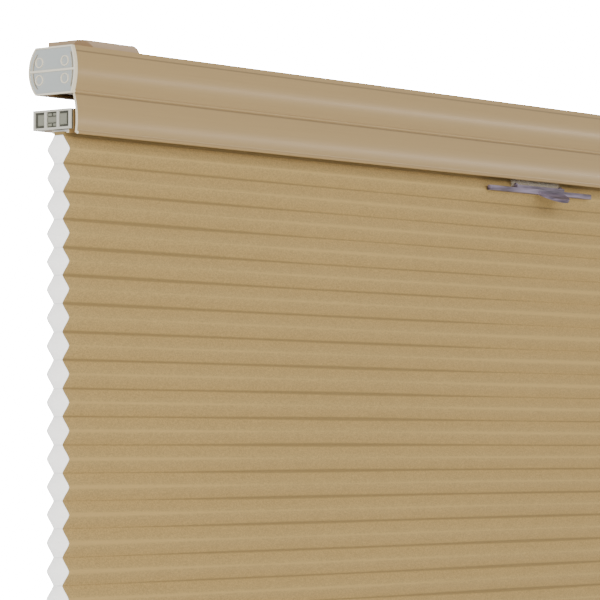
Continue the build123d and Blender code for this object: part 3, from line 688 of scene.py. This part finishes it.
class SHADE_OT_headrail(ShadeOperator):
    """Build the two-lobed headrail"""

    bl_idname = "shade.headrail"
    bl_label = "Headrail"

    def make(self):
        low, high = spans("headrail")
        middle = (NOTCH + SKIRT_BOTTOM) / 2
        inner_skirt = arc((SKIRT_TOP_Y + SKIRT_WALL, NOTCH), (SKIRT_MID_Y + SKIRT_WALL, middle),
                          (SKIRT_LIP_Y + SKIRT_WALL, SKIRT_BOTTOM), 24)
        outer_skirt = arc((SKIRT_LIP_Y, SKIRT_BOTTOM), (SKIRT_MID_Y, middle), (SKIRT_TOP_Y, NOTCH), 24)
        inner_skirt = [p for p in inner_skirt if p[1] < BARREL_BOTTOM]
        front = barrel_run(FRONT, RAIL_TOP, BARREL_BOTTOM)[::-1]
        face = beaded(inner_skirt, (SKIRT_LIP_Y - BEAD / 2, SKIRT_BOTTOM), BEAD, outer_skirt)
        face = beaded(face, (SKIRT_TOP_Y, NOTCH), BEAD, [p for p in front if p[1] > NOTCH])
        top_bead = (barrel_y(FRONT, RAIL_TOP - BEAD), RAIL_TOP - BEAD)
        top_edge = [(-SLOT_MOUTH_HALF - 6, RAIL_TOP), (-SLOT_MOUTH_HALF, RAIL_TOP)]
        face = beaded(face, top_bead, BEAD, top_edge)
        section = face + [
            (-SLOT_MOUTH_HALF, SLOT_TOP), (-SLOT_HALF, SLOT_TOP), (-SLOT_HALF, SLOT_FLOOR),
            (SLOT_HALF, SLOT_FLOOR), (SLOT_HALF, SLOT_TOP), (SLOT_MOUTH_HALF, SLOT_TOP),
            (SLOT_MOUTH_HALF, RAIL_TOP),
        ]
        section += barrel_run(BACK, RAIL_TOP, BARREL_BOTTOM)
        section += [(MOUTH_HALF, BARREL_BOTTOM), (MOUTH_HALF, CAVITY_BOTTOM)]
        section += barrel_run(BACK, CAVITY_TOP, CAVITY_BOTTOM, BARREL_WALL)[::-1]
        section += barrel_run(FRONT, CAVITY_TOP, CAVITY_BOTTOM, BARREL_WALL)
        section += [(-MOUTH_HALF, CAVITY_BOTTOM), (-MOUTH_HALF, BARREL_BOTTOM),
                    (inner_skirt[0][0], BARREL_BOTTOM)]
        piece = extruded("headrail_shell", section, low[0], high[0], MATERIALS["rail_paint"])
        stands_for(piece, "headrail", "rail_paint", "headrail")


class SHADE_OT_mouldings(ShadeOperator):
    """Round the edges of the caps, brackets, moving rails, their ends and their handles"""

    bl_idname = "shade.mouldings"
    bl_label = "Mouldings"

    def make(self):
        edge = self.sizes.edge
        for side in SIDES:
            softened(f"end_cap_{side}", edge * 0.5)
            softened(f"bracket_{side}", edge * 1.2)
            for rail in ("middle_rail", "bottom_rail"):
                softened(f"{rail}_cap_{side}", edge)
                softened(f"{rail}_plug_{side}", edge * 0.6)
        for rail in ("middle_rail", "bottom_rail"):
            softened(rail, edge)
            softened(f"{rail}_handle", edge * 1.6)


class SHADE_OT_window_pads(ShadeOperator):
    """Set the pads into the windows at the ends of the moving rails"""

    bl_idname = "shade.window_pads"
    bl_label = "Window pads"

    border = 1.6
    mullion = 5.8
    mullion_half = 1.0
    gap = 1.5
    outer_gap = 2.4
    depth = 1.0

    def pad(self, shape, x, sign, near, far, bottom, top):
        """One raised pad with a chamfered rim."""
        rim = 0.5
        rings = []
        for out, inset in ((0.0, 0.0), (self.depth - 0.35, 0.0), (self.depth, rim)):
            rings.append([shape.verts.new(((x + sign * out) * MM, y * MM, z * MM)) for y, z in (
                (near + inset, bottom + inset), (far - inset, bottom + inset),
                (far - inset, top - inset), (near + inset, top - inset))])
        for lower, upper in zip(rings, rings[1:]):
            for i in range(4):
                shape.faces.new((lower[i], lower[(i + 1) % 4], upper[(i + 1) % 4], upper[i]))
        shape.faces.new(rings[0])
        shape.faces.new(rings[-1])

    def make(self):
        for rail in ("middle_rail", "bottom_rail"):
            for side, sign in SIDES.items():
                cap_low, cap_high = spans(f"{rail}_cap_{side}")
                cap_bottom, cap_top = cap_low[2], cap_high[2]
                plug = spans(f"{rail}_plug_{side}")
                x = plug[0][0] if sign < 0 else plug[1][0]
                edge = cap_high[1] - self.border
                inner = self.mullion + self.mullion_half
                bottom = cap_bottom + self.border + self.gap
                top = cap_top - self.border - self.gap
                shape = bmesh.new()
                self.pad(shape, x, sign, -edge + self.outer_gap, -inner - 0.3, bottom, top)
                self.pad(shape, x, sign, inner + 0.3, edge - self.outer_gap, bottom, top)
                half = self.mullion - self.mullion_half
                third = (top - bottom) / 3
                self.pad(shape, x, sign, -half + 0.6, half - 0.6, bottom + third * 0.7, top - third * 0.7)
                for near, far in ((-half + 0.6, -0.7), (0.7, half - 0.6)):
                    self.pad(shape, x, sign, near, far, bottom - 0.7, bottom + third * 0.5)
                    self.pad(shape, x, sign, near, far, top - third * 0.5, top + 0.7)
                bmesh.ops.recalc_face_normals(shape, faces=shape.faces)
                mesh = bpy.data.meshes.new(f"{rail}_pads_{side}")
                shape.to_mesh(mesh)
                shape.free()
                piece = new_piece(mesh.name, mesh, MATERIALS["pad_plastic"])
                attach(piece, rail)


class SHADE_OT_fabric(ShadeOperator):
    """Stack the honeycomb cells and hang them between the moving rails"""

    bl_idname = "shade.fabric"
    bl_label = "Honeycomb fabric"

    def ring(self, half_height, reach, wall):
        """One cell's outline of (y, z) points, front half first, stepped in by wall."""
        steps = self.sizes.facet_steps
        crease = self.sizes.crease / MM
        glue = GLUE / 2
        slope = math.hypot(reach, half_height) / half_height
        tip = reach - wall * slope
        top = half_height - wall
        quarter = []
        for i in range(steps + 1):
            share = i / steps
            sway = 0.028 * math.sin(2 * math.pi * share) * reach
            y = glue + tip * share - sway
            z = top * (1 - share)
            blunt = max(0.0, 1 - (1 - share) * top / crease)
            y -= 0.35 * crease * blunt * blunt
            quarter.append((y, z))
        back = quarter + [(y, -z) for y, z in reversed(quarter[:-1])]
        front = [(-y, -z) for y, z in back]
        return back + front

    def cell(self, pitch, reach, half_width):
        """One cell: an open tube with an outer and an inner wall, its ends closed."""
        half = pitch / 2 - SEAM_GAP
        outer = self.ring(half, reach, 0.0)
        inner = self.ring(half, reach, CELL_WALL)
        stations = [-half_width + 2 * half_width * i / self.sizes.length_steps
                    for i in range(self.sizes.length_steps + 1)]
        shape = bmesh.new()
        lined = shape.faces.layers.bool.new("lining")
        centre = self.centre_y
        walls = [[[shape.verts.new((x * MM, (centre + y) * MM, z * MM)) for y, z in ring]
                  for x in stations] for ring in (outer, inner)]
        count = len(outer)
        for number, wall in enumerate(walls):
            for near, far in zip(wall, wall[1:]):
                for i in range(count):
                    j = (i + 1) % count
                    face = shape.faces.new((near[i], near[j], far[j], far[i]))
                    behind = (outer[i][0] + outer[j][0]) / 2 > GLUE / 2 - 0.05
                    face[lined] = bool(number) or behind
        for end in (0, -1):
            for i in range(count):
                j = (i + 1) % count
                face = shape.faces.new((walls[0][end][i], walls[0][end][j],
                                        walls[1][end][j], walls[1][end][i]))
                face[lined] = True
        bmesh.ops.recalc_face_normals(shape, faces=shape.faces)
        mesh = bpy.data.meshes.new("cell")
        shape.to_mesh(mesh)
        shape.free()
        return mesh

    def neck(self, piece, low, high, half_width):
        """Adds the short glued neck between the cells and a rail's strip to the piece."""
        shape = bmesh.new()
        shape.from_mesh(piece.data)
        lined = shape.faces.layers.bool.get("lining") or shape.faces.layers.bool.new("lining")
        half = GLUE / 2
        section = [(self.centre_y - half, low), (self.centre_y + half, low),
                   (self.centre_y + half, high), (self.centre_y - half, high)]
        ends = [[shape.verts.new((x * MM, y * MM, z * MM)) for y, z in section]
                for x in (-half_width, half_width)]
        made = [shape.faces.new(ends[0]), shape.faces.new(ends[1])]
        for i in range(4):
            made.append(shape.faces.new((ends[0][i], ends[0][(i + 1) % 4],
                                         ends[1][(i + 1) % 4], ends[1][i])))
        bmesh.ops.recalc_face_normals(shape, faces=made)
        cloth = piece.data.materials.find(MATERIALS["honeycomb_fabric"].name)
        for face in made:
            face[lined] = False
            face.material_index = cloth
        shape.to_mesh(piece.data)
        shape.free()

    def wander(self, piece, top, bottom, pitch):
        """Moves the cloth slightly off its exact places, but not at its ends nor where its sections meet."""
        chance = random.Random(self.sizes.seed)
        uneven = self.sizes.uneven / MM
        lines = [0.0] + [chance.uniform(-uneven, uneven) for _ in range(CELLS - 1)] + [0.0]
        lines[UPPER_CELLS] = 0.0
        split = top - NECK - UPPER_CELLS * pitch
        first = top - NECK
        ripple = self.sizes.ripple / MM
        for vertex in piece.data.vertices:
            x, y, z = (c / MM for c in vertex.co)
            place = min(max((first - z) / pitch, 0.0), CELLS - 1e-6)
            number = int(place)
            share = place - number
            drift = lines[number] * (1 - share) + lines[number + 1] * share
            free = min(1.0, (top - z) / 60, (z - bottom) / 60, abs(z - split) / 60)
            sway = math.sin(x / 143 + z / 89) + 0.6 * math.sin(x / 61 - z / 47)
            vertex.co.y = (y + ripple * 0.6 * max(free, 0) * sway) * MM
            vertex.co.z = (z + drift + ripple * 0.35 * max(free, 0) * math.sin(x / 97 + z / 31)) * MM

    def make(self):
        low, high = spans("fabric")
        half_width = high[0]
        self.centre_y = (low[1] + high[1]) / 2
        reach = (high[1] - low[1]) / 2 - GLUE / 2
        top, bottom = high[2], low[2]
        pitch = (top - bottom - 2 * NECK) / CELLS
        split = top - NECK - UPPER_CELLS * pitch
        facet = math.hypot(reach, pitch / 2)
        recipe = honeycomb_recipe()
        sections = (
            ("fabric_upper", UPPER_CELLS, top - NECK, (top - NECK, top), "middle_rail",
             "middle_rail_drop", top, top - split),
            ("fabric_lower", CELLS - UPPER_CELLS, split, (bottom, bottom + NECK), "bottom_rail",
             "bottom_rail_lift", bottom, split - bottom),
        )
        for name, count, first, neck, body, joint, anchor, height in sections:
            piece = new_piece(name, self.cell(pitch, reach, half_width))
            recipe.run(piece, {"Cells": count, "Pitch": pitch * MM, "First cell": (first - pitch / 2) * MM})
            self.neck(piece, *neck, half_width)
            self.wander(piece, top, bottom, pitch)
            smooth(piece.data, 50)
            stands_for(piece, body, "honeycomb_fabric", "fabric")
            self.centre_y * MM
            anchor * MM
            (height - TRAVEL[joint]) / height
            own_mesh(piece)
            2 * half_width * MM
            count * (4 * facet + 2 * GLUE) * MM


class SHADE_OT_cords(ShadeOperator):
    """Run the lift cords and wind them on their spools"""

    bl_idname = "shade.cords"
    bl_label = "Lift cords"

    cord_radius = 0.6
    reach = 6.1
    winding_length = 24.0

    def run_down(self, name, x, y, high, low, steps):
        """A round cord straight down, with rings close enough to stretch evenly."""
        shape = bmesh.new()
        sides = 8
        rings = []
        for i in range(steps + 1):
            z = high + (low - high) * i / steps
            rings.append([shape.verts.new(((x + self.cord_radius * math.cos(2 * math.pi * k / sides)) * MM,
                                           (y + self.cord_radius * math.sin(2 * math.pi * k / sides)) * MM,
                                           z * MM)) for k in range(sides)])
        for upper, lower in zip(rings, rings[1:]):
            for k in range(sides):
                shape.faces.new((upper[k], upper[(k + 1) % sides], lower[(k + 1) % sides], lower[k]))
        shape.faces.new(rings[0])
        shape.faces.new(rings[-1])
        bmesh.ops.recalc_face_normals(shape, faces=shape.faces)
        mesh = bpy.data.meshes.new(name)
        shape.to_mesh(mesh)
        shape.free()
        smooth(mesh)
        return new_piece(name, mesh, MATERIALS["lift_cord"])

    def make(self):
        recipe = winding_recipe()
        shaft_z = sum(c[2] for c in spans("lower_shaft")) / 2
        lift = TRAVEL["bottom_rail_lift"]
        for drive in ("lower", "upper"):
            low, high = spans(f"{drive}_shaft")
            shaft_y = (low[1] + high[1]) / 2
            for side in SIDES:
                node = f"{drive}_cord_{side}"
                cord_low, cord_high = spans(node)
                x = (cord_low[0] + cord_high[0]) / 2
                y = shaft_y + self.reach * (1 if drive == "lower" else -1)
                end = cord_low[2]
                length = shaft_z - end
                piece = self.run_down(f"{drive}_lift_cord_{side}", x, y, shaft_z, end,
                                      40 if drive == "upper" else 24)
                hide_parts(node)
                if drive == "lower":
                    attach(piece, "headrail")
                    y * MM
                    shaft_z * MM
                    (length - lift) / length
                    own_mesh(piece)
                else:
                    x * MM
                    y * MM
                    shaft_z * MM
                    x * MM
                    y * MM
                    (end + 5) * MM
                    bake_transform(piece)
                turns = math.floor(self.winding_length / (2.12 * self.cord_radius))
                coil = new_piece(f"{drive}_winding_{side}", bpy.data.meshes.new("winding"))
                recipe.run(coil, {"Turns": float(turns), "Reach": self.reach * MM,
                                  "Length": (self.winding_length - 2 * self.cord_radius) * MM,
                                  "Cord radius": self.cord_radius * 0.98 * MM,
                                  "Start": ((x - self.winding_length / 2 + self.cord_radius) * MM,
                                            shaft_y * MM, shaft_z * MM)})
                smooth(coil.data, 60)
                stands_for(coil, f"{drive}_shaft", "lift_cord", node)


class SHADE_OT_stage(ShadeOperator):
    """Lay the floor and set the lights and the camera"""

    bl_idname = "shade.stage"
    bl_label = "Stage"

    forward = Vector((0.76754, 0.63949, 0.04384))
    right = Vector((0.64011, -0.76828, 0.0))
    eye = Vector((-2.17421, -1.58151, -0.27711))
    lens = 201.0
    sensor = 36.0
    farthest = 50.0
    floor_z = -1.25
    floor_half = 5.0
    sky = 0.6
    backdrop = 30.0

    def light(self, name, place, aim, size, watts, colour=(1, 1, 1)):
        """A soft rectangular lamp that faces the aim."""
        lamp = bpy.data.lights.new(name, "AREA")
        lamp.shape = "RECTANGLE"
        lamp.size, lamp.size_y = size
        lamp.energy = watts
        lamp.color = colour
        holder = bpy.data.objects.new(name, lamp)
        bpy.context.scene.collection.objects.link(holder)
        holder.location = place
        holder.rotation_euler = (Vector(aim) - Vector(place)).to_track_quat("-Z", "Y").to_euler()

    def make(self):
        shape = bmesh.new()
        bmesh.ops.create_grid(shape, x_segments=12, y_segments=12, size=self.floor_half,
                              matrix=Matrix.Translation((0, 0, self.floor_z)))
        mesh = bpy.data.meshes.new("floor")
        shape.to_mesh(mesh)
        shape.free()
        new_piece("floor", mesh, floor_paint("pale_floor"))

        world = bpy.data.worlds.new("studio")
        world.use_nodes = True
        tree = world.node_tree
        sky = tree.nodes["Background"]
        sky.inputs["Color"].default_value = (1, 1, 1, 1)
        sky.inputs["Strength"].default_value = self.sky
        backdrop = tree.nodes.new("ShaderNodeBackground")
        backdrop.inputs["Color"].default_value = (1, 1, 1, 1)
        backdrop.inputs["Strength"].default_value = self.backdrop
        seen = tree.nodes.new("ShaderNodeLightPath")
        either = tree.nodes.new("ShaderNodeMixShader")
        tree.links.new(seen.outputs["Is Camera Ray"], either.inputs[0])
        tree.links.new(sky.outputs[0], either.inputs[1])
        tree.links.new(backdrop.outputs[0], either.inputs[2])
        tree.links.new(either.outputs[0], tree.nodes["World Output"].inputs["Surface"])
        bpy.context.scene.world = world
        self.light("key", (-1.5, -3.0, 0.4), (0, 0, -0.3), (2.6, 1.3), 62)
        self.light("end fill", (-3.2, 0.4, 0.5), (-0.5, 0, -0.05), (1.2, 1.2), 34)
        self.light("strip", (2.2, -1.95, 0.12), (-0.25, -0.02, -0.05), (1.6, 0.07), 5, (1, 0.95, 0.86))

        camera = bpy.data.cameras.new("camera")
        camera.lens = self.lens
        camera.sensor_width = self.sensor
        camera.clip_end = self.farthest
        holder = bpy.data.objects.new("camera", camera)
        bpy.context.scene.collection.objects.link(holder)
        back = -self.forward.normalized()
        right = self.right.normalized()
        up = back.cross(right)
        turn = Matrix((right, up, back)).transposed().to_4x4()
        holder.matrix_world = Matrix.Translation(self.eye) @ turn
        bpy.context.scene.camera = holder


class SHADE_PT_panel(bpy.types.Panel):
    """The shade's steps, sizes and colours"""

    bl_idname = "SHADE_PT_panel"
    bl_label = "Honeycomb Shade"
    bl_space_type = "VIEW_3D"
    bl_region_type = "UI"
    bl_category = "Shade"

    def draw(self, context):
        for group in (context.scene.shade_sizes, context.scene.shade_colours):
            for name in group.__annotations__:
                self.layout.prop(group, name)
        for step in STEPS:
            self.layout.operator(step.bl_idname)


STEPS = (SHADE_OT_finishes, SHADE_OT_headrail, SHADE_OT_mouldings, SHADE_OT_window_pads,
         SHADE_OT_fabric, SHADE_OT_cords, SHADE_OT_stage)
CLASSES = (ShadeColours, ShadeSizes, *STEPS, SHADE_PT_panel)


def register():
    """Registers the classes and gives the scene its sizes and colours."""
    for entry in CLASSES:
        bpy.utils.register_class(entry)
    bpy.types.Scene.shade_colours = bpy.props.PointerProperty(type=ShadeColours)
    bpy.types.Scene.shade_sizes = bpy.props.PointerProperty(type=ShadeSizes)


def unregister():
    """Takes back what register added."""
    del bpy.types.Scene.shade_sizes
    del bpy.types.Scene.shade_colours
    for entry in reversed(CLASSES):
        bpy.utils.unregister_class(entry)


def main():
    """Builds every piece in order."""
    register()
    for step in STEPS:
        group, name = step.bl_idname.split(".")
        getattr(getattr(bpy.ops, group), name)()


if __name__ == "__main__":
    main()
